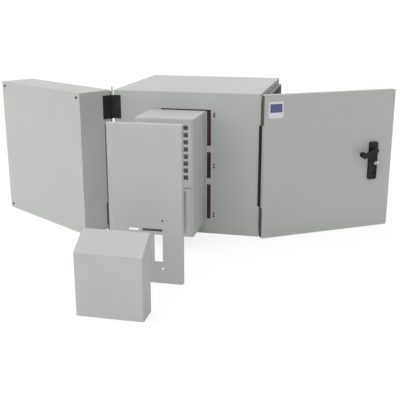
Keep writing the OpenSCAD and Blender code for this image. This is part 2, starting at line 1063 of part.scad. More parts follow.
// Slope-topped cover, open below and at the back inside its turned-in edges
module rain_hood() {
    face_y = side_y - hood_out;
    color(paint)
        translate([hood_x, face_y, 0])
            difference() {
                intersection() {
                    along_x(-hood_w / 2, hood_w / 2)
                        hood_side(0);
                    along_z(0, hood_h)
                        translate([0, hood_d / 2])
                            rounded(hood_w, hood_d, tray_r);
                }
                intersection() {
                    along_x(-hood_w / 2 + unit_t, hood_w / 2 - unit_t)
                        hood_side(unit_t);
                    along_z(-cut, hood_h)
                        translate([0, hood_d / 2])
                            rounded(hood_w - 2 * unit_t, hood_d - 2 * unit_t, tray_r - unit_t);
                }
                along_y(hood_d - unit_t - cut, hood_d + cut)
                    translate([-hood_w / 2 + hood_lip, -cut])
                        square([hood_w - 2 * hood_lip, hood_front_h + cut]);
            }
}

cabinet_shell();
filter_mats();
door_frame();
swing_frame();
rack_rail(1, -1);  // rack_rail_1
rack_rail(1, 1);  // rack_rail_2
rack_rail(-1, -1);  // rack_rail_3
rack_rail(-1, 1);  // rack_rail_4
swing_leaf_cabinet(upper_hinge_z);  // upper_swing_leaf_cabinet
swing_leaf_cabinet(lower_hinge_z);  // lower_swing_leaf_cabinet
door_hinge_cabinet_leaf();
door_hinge_pin();
unit_housing();
unit_cap();
unit_back();
unit_shelf();
unit_bolts();
condenser_coil();
evaporator_coil();
compressor();
fan_guard();
fan_ring();
fan_motor();
fan_bracket();
fan_rotor();
wall_shell();
wall_gasket();
swing_leaf_wall(upper_hinge_z);  // upper_swing_leaf_wall
swing_leaf_wall(lower_hinge_z);  // lower_swing_leaf_wall
swing_pin(upper_hinge_z);  // upper_swing_pin
swing_pin(lower_hinge_z);  // lower_swing_pin
door_panel();
door_gasket();
door_hinge_door_leaf();
handle_plate();
handle_clamp();
lock_barrel();
lock_plug();
handle_lever();
handle_spindle();
latch_tongue();
tongue_nut();
front_shroud();
rain_hood();
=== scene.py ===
"""Looks of a swing-out equipment cabinet: finishes for every solid, eased edges on the folded sheet,
screws, rivets and plugs, the bare door plate, the shroud's backing sheets, trims and seals, dark strips and
a darker door frame coat as painted shade, and a pale studio round it all. Metres."""

import json
import math

import bmesh
import bpy
from mathutils import Matrix, Vector


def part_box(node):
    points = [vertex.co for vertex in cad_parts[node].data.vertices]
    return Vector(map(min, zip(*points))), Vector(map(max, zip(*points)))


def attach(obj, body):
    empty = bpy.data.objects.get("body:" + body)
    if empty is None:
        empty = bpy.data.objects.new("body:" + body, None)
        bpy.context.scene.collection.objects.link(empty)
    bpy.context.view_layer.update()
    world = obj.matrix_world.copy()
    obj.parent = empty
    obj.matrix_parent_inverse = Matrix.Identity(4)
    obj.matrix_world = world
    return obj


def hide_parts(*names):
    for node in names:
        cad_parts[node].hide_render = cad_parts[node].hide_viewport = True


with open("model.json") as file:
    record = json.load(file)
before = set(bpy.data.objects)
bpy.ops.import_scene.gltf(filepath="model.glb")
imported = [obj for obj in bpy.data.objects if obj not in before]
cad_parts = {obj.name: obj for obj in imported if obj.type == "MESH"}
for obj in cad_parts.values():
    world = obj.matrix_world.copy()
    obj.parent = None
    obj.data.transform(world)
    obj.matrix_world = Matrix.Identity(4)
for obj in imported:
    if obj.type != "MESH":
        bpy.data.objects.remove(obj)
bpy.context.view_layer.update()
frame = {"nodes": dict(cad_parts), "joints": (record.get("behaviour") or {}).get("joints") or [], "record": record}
nodes = frame["nodes"]
joints = {j["name"]: j for j in frame["joints"]}
body_of_node = {n: b for b, ns in frame["record"]["behaviour"]["bodies"].items() for n in ns}
slot_of_node = {s["node"]: s["material_slot"] for s in frame["record"]["subparts"]}
scene = bpy.context.scene
scene.view_settings.view_transform = "Standard"
MM = 0.001


# Places, repeated from the solids: the wall section and the door stand open from shut

OPEN_TURN = math.radians(57.5)


def turned_about(joint, angle):
    axis = Vector(joints[joint]["pos_m"])
    return Matrix.Translation(axis) @ Matrix.Rotation(angle, 4, "Z") @ Matrix.Translation(-axis)


AT_CABINET = Matrix.Identity(4)
AT_WALL = turned_about("cabinet_swing", OPEN_TURN)
AT_DOOR = turned_about("door_swing", -OPEN_TURN)
SWING_AXIS = Vector(joints["cabinet_swing"]["pos_m"])
DOOR_AXIS = Vector(joints["door_swing"]["pos_m"])
SIDE_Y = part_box("cabinet_shell")[0].y
DOOR_FACE_X = 0.342


# Finishes

class Finish:
    """A node material whose patterns lie on the piece's own place."""

    def __init__(self, name):
        self.material = bpy.data.materials.new(name)
        self.material.use_nodes = True
        self.tree = self.material.node_tree
        self.tree.nodes.clear()
        output = self.add("ShaderNodeOutputMaterial")
        self.shader = self.add("ShaderNodeBsdfPrincipled")
        self.tree.links.new(self.shader.outputs[0], output.inputs[0])
        self.place = self.add("ShaderNodeTexCoord").outputs["Object"]
        self.geometry = self.add("ShaderNodeNewGeometry")

    def add(self, kind, **settings):
        node = self.tree.nodes.new(kind)
        for key, value in settings.items():
            setattr(node, key, value)
        return node

    def put(self, socket, value):
        if isinstance(value, bpy.types.NodeSocket):
            self.tree.links.new(value, socket)
        else:
            socket.default_value = value

    def fix(self, **values):
        """Sets the shader's own sockets: a number stays on the socket, a pattern is linked."""
        for key, value in values.items():
            self.put(self.shader.inputs[key.replace("_", " ")], value)

    def stretched(self, stretch):
        node = self.add("ShaderNodeMapping")
        self.put(node.inputs["Vector"], self.place)
        node.inputs["Scale"].default_value = stretch
        return node.outputs[0]

    def noise(self, scale, detail=3.0, rough=0.5, place=None):
        node = self.add("ShaderNodeTexNoise")
        self.put(node.inputs["Vector"], place or self.place)
        node.inputs["Scale"].default_value = scale
        node.inputs["Detail"].default_value = detail
        node.inputs["Roughness"].default_value = rough
        return node.outputs[0]

    def cells(self, scale, place=None):
        node = self.add("ShaderNodeTexVoronoi")
        self.put(node.inputs["Vector"], place or self.place)
        node.inputs["Scale"].default_value = scale
        return node

    def spread(self, value, low, high, to_low=0.0, to_high=1.0):
        node = self.add("ShaderNodeMapRange")
        for socket, v in zip(node.inputs, (value, low, high, to_low, to_high)):
            self.put(socket, v)
        return node.outputs[0]

    def sum(self, operation, a, b):
        node = self.add("ShaderNodeMath", operation=operation)
        self.put(node.inputs[0], a)
        self.put(node.inputs[1], b)
        return node.outputs[0]

    def mix(self, share, a, b):
        node = self.add("ShaderNodeMix", data_type="RGBA")
        self.put(node.inputs[0], share)
        for socket, colour in ((node.inputs[6], a), (node.inputs[7], b)):
            self.put(socket, colour if isinstance(colour, bpy.types.NodeSocket) else (*colour, 1.0))
        return node.outputs[2]

    def eased(self, radius):
        node = self.add("ShaderNodeBevel", samples=4)
        node.inputs["Radius"].default_value = radius
        return node.outputs[0]

    def edges(self, radius, bite):
        """1 along convex and concave edges, 0 on the flats."""
        node = self.add("ShaderNodeVectorMath", operation="DOT_PRODUCT")
        self.put(node.inputs[0], self.eased(radius))
        self.put(node.inputs[1], self.geometry.outputs["Normal"])
        return self.spread(node.outputs["Value"], 1.0, 1.0 - bite)

    def facing_up(self):
        node = self.add("ShaderNodeSeparateXYZ")
        self.put(node.inputs[0], self.geometry.outputs["Normal"])
        return self.spread(node.outputs[2], 0.5, 1.0)

    def bump(self, height, strength, distance, normal=None):
        node = self.add("ShaderNodeBump")
        node.inputs["Strength"].default_value = strength
        node.inputs["Distance"].default_value = distance
        self.put(node.inputs["Height"], height)
        if normal:
            self.put(node.inputs["Normal"], normal)
        return node.outputs[0]


def powder_coat(name, light, dark, dust, peel=900.0):
    """Textured light powder coat: cloudy tone, orange peel, a little dust on top and worn edges."""
    f = Finish(name)
    cloud = f.noise(2.3, 4.0, 0.55)
    speck = f.noise(peel * 0.6, 1.0)
    tone = f.mix(f.spread(cloud, 0.3, 0.7), dark, light)
    tone = f.mix(f.spread(speck, 0.56, 0.72, 0.0, 0.25), tone, dark)
    dusty = f.sum("MULTIPLY", f.facing_up(), f.spread(f.noise(9.0, 5.0, 0.65), 0.4, 0.75, 0.0, 0.3))
    tone = f.mix(dusty, tone, dust)
    chips = f.spread(f.noise(38.0, 5.0, 0.7), 0.45, 0.65, 0.0, 0.35)
    worn = f.sum("MULTIPLY", f.edges(0.0012, 0.12), chips)
    tone = f.mix(worn, tone, (0.80, 0.80, 0.78))
    f.fix(
        Base_Color=tone,
        Roughness=f.spread(f.noise(26.0, 3.0), 0.3, 0.7, 0.44, 0.58),
        Specular_IOR_Level=0.35,
        Normal=f.bump(f.noise(peel, 2.0), 0.10, 0.0004, f.eased(0.0006)),
    )
    return f.material


def black_coat(name, base, sheen_tone, rough, grain):
    """Black-coated steel or moulded plastic with a fine grain and rubbed edges."""
    f = Finish(name)
    tone = f.mix(f.spread(f.noise(45.0, 4.0, 0.6), 0.35, 0.7), base, sheen_tone)
    rubbed = f.sum("MULTIPLY", f.edges(0.0010, 0.15), f.spread(f.noise(120.0, 4.0), 0.4, 0.65, 0.0, 0.5))
    tone = f.mix(rubbed, tone, (0.16, 0.16, 0.155))
    f.fix(
        Base_Color=tone,
        Roughness=f.spread(f.noise(70.0, 3.0), 0.3, 0.7, rough - 0.07, rough + 0.08),
        Specular_IOR_Level=0.25,
        Normal=f.bump(f.noise(grain, 2.0), 0.22, 0.0003, f.eased(0.0006)),
    )
    return f.material


def zinc_plate(name, light, dark, rough):
    """Zinc-plated steel: soft spangle, faint drawn lines, dull patches."""
    f = Finish(name)
    spangle = f.cells(95.0)
    lines = f.noise(260.0, 2.0, 0.5, f.stretched((1.0, 1.0, 0.04)))
    tone = f.mix(f.spread(spangle.outputs["Color"], 0.0, 1.0), dark, light)
    tone = f.mix(f.spread(f.noise(14.0, 5.0, 0.6), 0.45, 0.75, 0.0, 0.45), tone, dark)
    f.fix(
        Base_Color=tone,
        Metallic=1.0,
        Roughness=f.spread(lines, 0.3, 0.7, rough - 0.08, rough + 0.10),
        Normal=f.bump(lines, 0.12, 0.0002, f.eased(0.0005)),
    )
    return f.material


def foam_strip(name, base, light):
    """Closed-cell foam: small pits and a dull, dusty skin."""
    f = Finish(name)
    pits = f.cells(520.0).outputs["Distance"]
    f.fix(
        Base_Color=f.mix(f.spread(f.noise(60.0, 4.0), 0.35, 0.7), base, light),
        Roughness=f.spread(pits, 0.0, 0.6, 0.95, 0.78),
        Specular_IOR_Level=0.2,
        Normal=f.bump(pits, 0.5, 0.0006),
    )
    return f.material


def filter_mat(name, dark, warm):
    """Pressed filter fleece: matted fibres, dark and reddish stretches up its height."""
    f = Finish(name)
    stretches = f.noise(5.0, 1.0, 0.5, f.stretched((0.0, 0.0, 1.0)))
    fibres = f.noise(240.0, 4.0, 0.7)
    tone = f.mix(f.spread(stretches, 0.32, 0.68), dark, warm)
    f.fix(
        Base_Color=f.mix(f.spread(fibres, 0.5, 0.8, 0.0, 0.5), tone, dark),
        Roughness=f.spread(fibres, 0.3, 0.7, 0.82, 0.97),
        Specular_IOR_Level=0.2,
        Normal=f.bump(fibres, 0.5, 0.0008),
    )
    return f.material


def fin_stack(name):
    """Thin grey fins, uneven from one to the next."""
    f = Finish(name)
    lines = f.noise(420.0, 1.0, 0.5, f.stretched((1.0, 0.2, 0.05)))
    f.fix(
        Base_Color=f.mix(f.spread(lines, 0.35, 0.65), (0.34, 0.34, 0.345), (0.52, 0.52, 0.525)),
        Metallic=0.2,
        Roughness=f.spread(f.noise(40.0, 3.0), 0.3, 0.7, 0.50, 0.66),
        Normal=f.bump(lines, 0.2, 0.0003),
    )
    return f.material


def printed_plate(name, base, shade):
    """A plain printed plastic plate, slightly scuffed."""
    f = Finish(name)
    scuff = f.noise(180.0, 5.0, 0.7, f.stretched((1.0, 1.0, 0.25)))
    f.fix(
        Base_Color=f.mix(f.spread(scuff, 0.5, 0.8, 0.0, 0.5), base, shade),
        Roughness=f.spread(scuff, 0.3, 0.7, 0.30, 0.46),
        Normal=f.bump(scuff, 0.05, 0.0002),
    )
    return f.material


PALE_DUST = (0.63, 0.625, 0.59)
finishes = {
    "cabinet_paint": powder_coat("cabinet_powder_coat", (0.60, 0.615, 0.59), (0.565, 0.58, 0.555), PALE_DUST),
    "unit_paint": powder_coat(
        "unit_powder_coat", (0.605, 0.62, 0.60), (0.57, 0.585, 0.565), PALE_DUST, 1100.0),
    "hinge_black": black_coat(
        "hinge_black_coat", (0.012, 0.012, 0.013), (0.028, 0.028, 0.029), 0.42, 700.0),
    "handle_black": black_coat(
        "handle_moulding", (0.010, 0.011, 0.011), (0.022, 0.023, 0.023), 0.48, 1500.0),
    "zinc_steel": zinc_plate("zinc_plate", (0.66, 0.67, 0.69), (0.47, 0.48, 0.50), 0.36),
    "lock_chrome": zinc_plate("satin_chrome", (0.46, 0.46, 0.45), (0.34, 0.34, 0.33), 0.36),
    "gasket_foam": foam_strip("gasket_foam", (0.016, 0.016, 0.016), (0.035, 0.035, 0.034)),
    "coil_fins": fin_stack("coil_fins"),
    "fan_black": black_coat("fan_moulding", (0.014, 0.014, 0.015), (0.027, 0.027, 0.028), 0.45, 1200.0),
}
guard_dark = zinc_plate("guard_dark_zinc", (0.40, 0.40, 0.40), (0.30, 0.30, 0.30), 0.50)
# The door frame takes a darker grey than the cabinet: painted shade for the corner between the cabinet's end and
# the open door
frame_painted_shade_grey = powder_coat("door_frame_coat_painted_shade", (0.36, 0.37, 0.355), (0.33, 0.34, 0.325), (0.40, 0.40, 0.38))
# The mats behind the side openings are dark as painted shade inside the openings; their reddish stretches vary at
# random
mats_painted_shade = filter_mat("filter_fleece_red_painted_shade", (0.045, 0.032, 0.033), (0.15, 0.078, 0.086))
own_finish = {"fan_guard": guard_dark, "door_frame": frame_painted_shade_grey, "filter_mats": mats_painted_shade}
trim_red = foam_strip("opening_trim_red", (0.095, 0.028, 0.031), (0.14, 0.042, 0.045))
# Dark grey foam for strips and sheets laid where shade falls: painted shade behind the shroud's slot, along the
# shroud's left edge and on the door's hinge-side edge
painted_shade_grey = foam_strip("painted_shade_foam_grey", (0.10, 0.10, 0.10), (0.16, 0.16, 0.155))
plate_white = printed_plate("plate_white", (0.86, 0.88, 0.93), (0.74, 0.75, 0.78))
plate_blue = printed_plate("plate_blue", (0.10, 0.12, 0.27), (0.16, 0.18, 0.33))


# Solids: the ones that stay take their finish, the folded and moulded ones get eased edges

def finish_of(name):
    return own_finish.get(name, finishes[slot_of_node[name]])


# Edge widths in mm. The gaskets and the door hinge's leaves stay as they are: easing breaks them
EASED_EDGES = {
    "cabinet_shell": 0.5, "door_frame": 0.4, "swing_frame": 0.4, "wall_shell": 0.5, "door_panel": 0.5,
    "unit_housing": 0.3, "unit_cap": 0.4, "front_shroud": 0.4, "rain_hood": 0.4,
    "upper_swing_leaf_cabinet": 0.5, "lower_swing_leaf_cabinet": 0.5, "upper_swing_leaf_wall": 0.5,
    "lower_swing_leaf_wall": 0.5, "upper_swing_pin": 0.8, "lower_swing_pin": 0.8,
    "handle_plate": 1.2, "handle_lever": 1.5, "lock_barrel": 0.6, "lock_plug": 0.4, "fan_guard": 0.3,
    "unit_bolts": 0.4, "tongue_nut": 0.5, "latch_tongue": 0.5,
}
MERGE_WITHIN = 1e-6
FLAT_WITHIN = math.radians(0.4)
SHARP_FROM = math.radians(35)
CORNER_FROM = math.radians(60)
FLAT_FROM = 0.002
EASE_STEPS = 2


def made_plain(piece):
    """Turns a piece with modifiers into a plain mesh."""
    seen = piece.evaluated_get(bpy.context.evaluated_depsgraph_get())
    mesh = bpy.data.meshes.new_from_object(seen)
    piece.modifiers.clear()
    piece.data = mesh


def eased_piece(name, mesh, width, angle):
    """A piece whose edges sharper than an angle are rounded off."""
    piece = bpy.data.objects.new(name, mesh)
    scene.collection.objects.link(piece)
    bevel = piece.modifiers.new("Eased edges", "BEVEL")
    bevel.width = width
    bevel.segments = EASE_STEPS
    bevel.limit_method = "ANGLE"
    bevel.angle_limit = angle
    made_plain(piece)
    return piece


def dressed(name, width):
    """A merged copy of a solid with eased edges, which stands for it."""
    mesh = nodes[name].data.copy()
    shape = bmesh.new()
    shape.from_mesh(mesh)
    bmesh.ops.remove_doubles(shape, verts=shape.verts, dist=MERGE_WITHIN)
    bmesh.ops.dissolve_limit(shape, angle_limit=FLAT_WITHIN, verts=shape.verts, edges=shape.edges)
    shape.to_mesh(mesh)
    shape.free()
    mesh.materials.clear()
    mesh.materials.append(finish_of(name))
    mesh.shade_smooth()
    mesh.set_sharp_from_angle(angle=SHARP_FROM)
    piece = eased_piece(name + "_eased", mesh, width * MM, SHARP_FROM)
    for face in piece.data.polygons:
        face.use_smooth = face.area < FLAT_FROM
    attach(piece, body_of_node[name])
    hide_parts(name)


for node_name, solid in nodes.items():
    solid.data.materials.clear()
    solid.data.materials.append(finish_of(node_name))
    if node_name in EASED_EDGES:
        dressed(node_name, EASED_EDGES[node_name])


# Screws and rivets, one tree for every row

def new_tree(name, inputs):
    tree = bpy.data.node_groups.new(name, "GeometryNodeTree")
    for label, kind in inputs:
        tree.interface.new_socket(label, in_out="INPUT", socket_type=kind)
    tree.interface.new_socket("Geometry", in_out="OUTPUT", socket_type="NodeSocketGeometry")
    return tree


def tree_builder(tree):
    def add(kind, links=(), **settings):
        node = tree.nodes.new(kind)
        for key, value in settings.items():
            setattr(node, key, value)
        for socket, value in links:
            if isinstance(value, bpy.types.NodeSocket):
                tree.links.new(value, node.inputs[socket])
            else:
                node.inputs[socket].default_value = value
        return node

    return add


HEAD_SIDES, TOP_FACES_FROM, DRIVE_DEPTH_SHARE = 16, 0.95, 0.6


def screw_head_tree():
    """Round heads with a sunk drive, one on each point, turned to its outward direction."""
    tree = new_tree("screw_heads", [
        ("Points", "NodeSocketGeometry"), ("Head radius", "NodeSocketFloat"),
        ("Head height", "NodeSocketFloat"), ("Crown share", "NodeSocketFloat"),
        ("Drive share", "NodeSocketFloat"), ("Finish", "NodeSocketMaterial"),
    ])
    add = tree_builder(tree)
    given = add("NodeGroupInput").outputs
    crown = add("ShaderNodeMath", [(0, given["Head radius"]), (1, given["Crown share"])],
                operation="MULTIPLY")
    head = add("GeometryNodeMeshCone", [
        ("Vertices", HEAD_SIDES), ("Radius Top", crown.outputs[0]), ("Radius Bottom", given["Head radius"]),
        ("Depth", given["Head height"]),
    ])
    normal = add("GeometryNodeInputNormal")
    upward = add("ShaderNodeSeparateXYZ", [(0, normal.outputs[0])])
    is_top = add("FunctionNodeCompare", [(0, upward.outputs[2]), (1, TOP_FACES_FROM)],
                 operation="GREATER_THAN")
    rim = add("GeometryNodeExtrudeMesh", [
        ("Mesh", head.outputs["Mesh"]), ("Selection", is_top.outputs[0]), ("Offset Scale", 0.0),
    ])
    drive = add("GeometryNodeScaleElements", [
        ("Geometry", rim.outputs["Mesh"]), ("Selection", rim.outputs["Top"]),
        ("Scale", given["Drive share"]),
    ])
    depth = add("ShaderNodeMath", [(0, given["Head height"]), (1, -DRIVE_DEPTH_SHARE)],
                operation="MULTIPLY")
    sunk = add("GeometryNodeExtrudeMesh", [
        ("Mesh", drive.outputs[0]), ("Selection", rim.outputs["Top"]),
        ("Offset Scale", depth.outputs[0]),
    ])
    outward = add("GeometryNodeInputNamedAttribute", [("Name", "outward")], data_type="FLOAT_VECTOR")
    turn = add("FunctionNodeAlignRotationToVector", [("Vector", outward.outputs["Attribute"])], axis="Z")
    rows = add("GeometryNodeInstanceOnPoints", [
        ("Points", given["Points"]), ("Instance", sunk.outputs["Mesh"]), ("Rotation", turn.outputs[0]),
    ])
    real = add("GeometryNodeRealizeInstances", [(0, rows.outputs[0])])
    finished = add("GeometryNodeSetMaterial", [
        ("Geometry", real.outputs[0]), ("Material", given["Finish"]),
    ])
    add("NodeGroupOutput", [(0, finished.outputs[0])])
    return tree


def grown(name, mesh, tree, body, slot, **inputs):
    """Runs a tree on a mesh and leaves the result as a plain piece on its body."""
    piece = bpy.data.objects.new(name, mesh)
    scene.collection.objects.link(piece)
    growth = piece.modifiers.new("Growth", "NODES")
    growth.node_group = tree
    sockets = {s.name: s.identifier for s in tree.interface.items_tree if s.in_out == "INPUT"}
    for key, value in inputs.items():
        growth[sockets[key.replace("_", " ")]] = value
    made_plain(piece)
    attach(piece, body)
    return piece


screw_heads = screw_head_tree()


def screw_row(name, body, slot, places, radius, height, crown=0.72, drive=0.55, finish=None):
    """Screws at (point, outward direction) places, in the rest frame."""
    mesh = bpy.data.meshes.new(name)
    mesh.from_pydata([p for p, _ in places], [], [])
    outward = mesh.attributes.new("outward", "FLOAT_VECTOR", "POINT")
    for k, (_, direction) in enumerate(places):
        outward.data[k].vector = direction
    grown(name, mesh, screw_heads, body, slot, Head_radius=radius, Head_height=height, Crown_share=crown,
          Drive_share=drive, Finish=finish or finishes[slot])


def seen_from(place, points, direction):
    """Points and one direction, given shut, carried to where they stand at rest."""
    turned = place.to_3x3() @ Vector(direction)
    return [(place @ Vector(p), turned) for p in points]


SWING_HINGE_Z = (0.022, 0.489)
CABINET_LEAF_SCREWS = (0.017, 0.028)
WALL_LEAF_SCREWS = (0.018, 0.035)
SWING_SCREW_Z = (0.012, 0.037, 0.062, 0.087)
SWING_SCREW, RIVET, SHEET_SCREW_R = (0.0042, 0.0016), (0.0014, 0.0006), 0.0033
rows = [(k % 2, z0 + dz) for z0 in SWING_HINGE_Z for k, dz in enumerate(SWING_SCREW_Z)]
cabinet_leaf = [(SWING_AXIS.x + CABINET_LEAF_SCREWS[k], SWING_AXIS.y, z) for k, z in rows]
wall_leaf = [(SWING_AXIS.x - WALL_LEAF_SCREWS[k], SWING_AXIS.y, z) for k, z in rows]
OUT_SIDE = (0, -1, 0)
screw_row("swing_hinge_screws_cabinet", "main_section", "hinge_black",
          seen_from(AT_CABINET, cabinet_leaf, OUT_SIDE), *SWING_SCREW)
screw_row("swing_hinge_screws_wall", "wall_section", "hinge_black",
          seen_from(AT_WALL, wall_leaf, OUT_SIDE), *SWING_SCREW)

DOOR_HINGE_Z, DOOR_HINGE_H, DOOR_KNUCKLES = 0.137, 0.344, 11
DOOR_LEAF_OUT, RIVET_OUT = 0.001675, 0.0048
rivet_z = [DOOR_HINGE_Z + DOOR_HINGE_H * (k + 0.5) / DOOR_KNUCKLES for k in range(DOOR_KNUCKLES)]
for side, body, place in ((-1, "main_section", AT_CABINET), (1, "door", AT_DOOR)):
    spots = [(DOOR_AXIS.x + side * RIVET_OUT, DOOR_AXIS.y + DOOR_LEAF_OUT, z) for z in rivet_z]
    screw_row("door_hinge_rivets_" + body, body, "hinge_black", seen_from(place, spots, OUT_SIDE), *RIVET)

cap_low, cap_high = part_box("unit_cap")
CAP_SCREW_DOWN, CAP_SCREW_SHARES, CAP_SCREW_H = 0.005, (0.14, 0.5, 0.86), 0.0018
cap_screw_z = cap_high.z - CAP_SCREW_DOWN
cap_screw_y = [cap_low.y + share * (cap_high.y - cap_low.y) for share in CAP_SCREW_SHARES]
for label, x, out in (("right", cap_high.x, (1, 0, 0)), ("left", cap_low.x, (-1, 0, 0))):
    spots = [(x, y, cap_screw_z) for y in cap_screw_y]
    screw_row("unit_cap_screws_" + label, "main_section", "zinc_steel",
              seen_from(AT_CABINET, spots, out), SHEET_SCREW_R, CAP_SCREW_H)

guard_low, guard_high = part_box("fan_guard")
GUARD_SCREW_IN, GUARD_SCREW_H = 0.012, 0.0014
guard_spots = [
    (x, guard_low.y, z)
    for x in (guard_low.x + GUARD_SCREW_IN, guard_high.x - GUARD_SCREW_IN)
    for z in (guard_low.z + GUARD_SCREW_IN, guard_high.z - GUARD_SCREW_IN)
]
screw_row("fan_guard_screws", "main_section", "zinc_steel",
          seen_from(AT_CABINET, guard_spots, OUT_SIDE), SHEET_SCREW_R, GUARD_SCREW_H)

FIXING_IN, WALL_BACK_X = (0.023, 0.020), -0.487
PLUG_SIZE, PLUG_CROWN, PLUG_DISH = (0.0066, 0.0018), 0.8, 0.6
CAB_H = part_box("cabinet_shell")[1].z
plug_spots = [
    (WALL_BACK_X, y * (-SIDE_Y - FIXING_IN[0]), CAB_H / 2 + z * (CAB_H / 2 - FIXING_IN[1]))
    for y in (-1, 1)
    for z in (-1, 1)
]
screw_row("wall_fixing_plugs", "wall_section", "hinge_black", seen_from(AT_WALL, plug_spots, (-1, 0, 0)),
          *PLUG_SIZE, PLUG_CROWN, PLUG_DISH)

SLOT_STUD_X, SLOT_STUD_Z, STUD_APART = 0.120, (0.0835, 0.301, 0.517), 0.0124
STUD_SIZE = (0.0034, 0.0016)
stud_spots = [(SLOT_STUD_X, SIDE_Y, z + side * STUD_APART / 2) for z in SLOT_STUD_Z for side in (-1, 1)]
screw_row("side_slot_studs", "main_section", "gasket_foam", seen_from(AT_CABINET, stud_spots, OUT_SIDE),
          *STUD_SIZE, finish=trim_red)


# Plates with round corners: the door's bare plate, the shroud's backing sheets, one of them dark as painted shade,
# the lever's end

CORNER_STEPS, PLATE_EASE_SHARE = 6, 0.3


def rounded_plate(name, place, x0, y0, y1, z0, z1, thick, corner, finish, body, slot):
    """A plate that rises from x0 towards +X, with round corners and eased edges, carried to its place."""
    ring = []
    for cy, cz, start in ((y1 - corner, z1 - corner, 0), (y0 + corner, z1 - corner, 90),
                          (y0 + corner, z0 + corner, 180), (y1 - corner, z0 + corner, 270)):
        for k in range(CORNER_STEPS + 1):
            a = math.radians(start + 90 * k / CORNER_STEPS)
            ring.append((cy + corner * math.cos(a), cz + corner * math.sin(a)))
    shape = bmesh.new()
    face = shape.faces.new([shape.verts.new((x0, y, z)) for y, z in ring])
    front = bmesh.ops.extrude_face_region(shape, geom=[face])
    risen = [v for v in front["geom"] if isinstance(v, bmesh.types.BMVert)]
    bmesh.ops.translate(shape, verts=risen, vec=(thick, 0, 0))
    bmesh.ops.recalc_face_normals(shape, faces=shape.faces)
    mesh = bpy.data.meshes.new(name)
    shape.to_mesh(mesh)
    shape.free()
    mesh.transform(place)
    mesh.materials.append(finish)
    piece = eased_piece(name, mesh, thick * PLATE_EASE_SHARE, CORNER_FROM)
    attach(piece, body)


PLATE_Y = (SIDE_Y + 0.019, SIDE_Y + 0.085)
PLATE_Z = (0.513, 0.580)
FIELD_Y = (SIDE_Y + 0.025, SIDE_Y + 0.079)
FIELD_Z = (0.536, 0.571)
PLATE_T, PLATE_CORNER, FIELD_T, FIELD_CORNER = 0.0009, 0.004, 0.0003, 0.002
rounded_plate("door_plate", AT_DOOR, DOOR_FACE_X, *PLATE_Y, *PLATE_Z, PLATE_T, PLATE_CORNER, plate_white,
              "door", "handle_black")
rounded_plate("door_plate_field", AT_DOOR, DOOR_FACE_X + PLATE_T, *FIELD_Y, *FIELD_Z, FIELD_T, FIELD_CORNER,
              plate_blue, "door", "handle_black")

# Behind the shroud's face: a sheet closes the left part of the window, a dark one lies behind the slot as painted
# shade seen through it
FACING_UNIT_FRONT = Matrix.Rotation(math.radians(-90), 4, "Z")
BLANK_X, BLANK_Z = (-0.075, 0.0276), (0.075, 0.1875)
BACKING_X, BACKING_Z = (-0.016, 0.066), (0.1885, 0.209)
SHEET_BACK, SHEET_T, SHEET_CORNER = 0.8848, 0.0012, 0.003
rounded_plate("shroud_window_blank", FACING_UNIT_FRONT, SHEET_BACK, *BLANK_X, *BLANK_Z, SHEET_T, SHEET_CORNER,
              finishes["cabinet_paint"], "shroud", "cabinet_paint")
rounded_plate("shroud_slot_painted_shade", FACING_UNIT_FRONT, SHEET_BACK, *BACKING_X, *BACKING_Z, SHEET_T,
              SHEET_CORNER, painted_shade_grey, "shroud", "gasket_foam")

# The lever's round end, fuller than the solid's
KNOB_X, KNOB_RISE = 0.3662, 0.0215
KNOB_Y, KNOB_Z, KNOB_CORNER = (0.130, 0.155), (0.3258, 0.3508), 0.0118
rounded_plate("lever_knob", AT_DOOR, KNOB_X, *KNOB_Y, *KNOB_Z, KNOB_RISE, KNOB_CORNER,
              finishes["handle_black"], "handle", "handle_black")

# The lock's dust cover, turned aside
COVER_X, COVER_T, COVER_CORNER = 0.3542, 0.0022, 0.0055
COVER_Y, COVER_Z = (0.2275, 0.2415), (0.2868, 0.2996)
rounded_plate("lock_dust_cover", AT_DOOR, COVER_X, *COVER_Y, *COVER_Z, COVER_T, COVER_CORNER,
              finishes["zinc_steel"], "door", "lock_chrome")


# Trims, seals, flanges and dark strips of painted shade: strips swept along outlines and straight runs

def trim_tree():
    """A strip of rectangular section swept along the outline it is given."""
    tree = new_tree("opening_trim", [
        ("Outline", "NodeSocketGeometry"), ("Strip width", "NodeSocketFloat"),
        ("Strip depth", "NodeSocketFloat"), ("Finish", "NodeSocketMaterial"),
    ])
    add = tree_builder(tree)
    given = add("NodeGroupInput").outputs
    path = add("GeometryNodeMeshToCurve", [("Mesh", given["Outline"])])
    section = add("GeometryNodeCurvePrimitiveQuadrilateral", [
        ("Width", given["Strip width"]), ("Height", given["Strip depth"]),
    ])
    strip = add("GeometryNodeCurveToMesh", [
        ("Curve", path.outputs[0]), ("Profile Curve", section.outputs[0]),
    ])
    real = add("GeometryNodeRealizeInstances", [(0, strip.outputs[0])])
    finished = add("GeometryNodeSetMaterial", [
        ("Geometry", real.outputs[0]), ("Material", given["Finish"]),
    ])
    add("NodeGroupOutput", [(0, finished.outputs[0])])
    return tree


VENT_HALF_W = 0.107
VENT_Z = ((0.068, 0.220), (0.247, 0.360), (0.387, 0.539))
TRIM_W, TRIM_D, TRIM_BEHIND = 0.003, 0.0016, 0.0002
# A section isn't widened where the outline turns a square corner, so it starts wider by this much
CORNER_STRETCH = math.sqrt(2)
opening_trim = trim_tree()
corners, sides = [], []
for z0, z1 in VENT_Z:
    first = len(corners)
    half, low, high = VENT_HALF_W - TRIM_W / 2, z0 + TRIM_W / 2, z1 - TRIM_W / 2
    square = ((-half, low), (half, low), (half, high), (-half, high))
    corners += [(x, SIDE_Y + TRIM_BEHIND + TRIM_D / 2, z) for x, z in square]
    sides += [(first + k, first + (k + 1) % 4) for k in range(4)]
outline = bpy.data.meshes.new("side_opening_trims")
outline.from_pydata(corners, sides, [])
grown("side_opening_trims", outline, opening_trim, "main_section", "gasket_foam", Strip_width=TRIM_D,
      Strip_depth=TRIM_W * CORNER_STRETCH, Finish=trim_red)


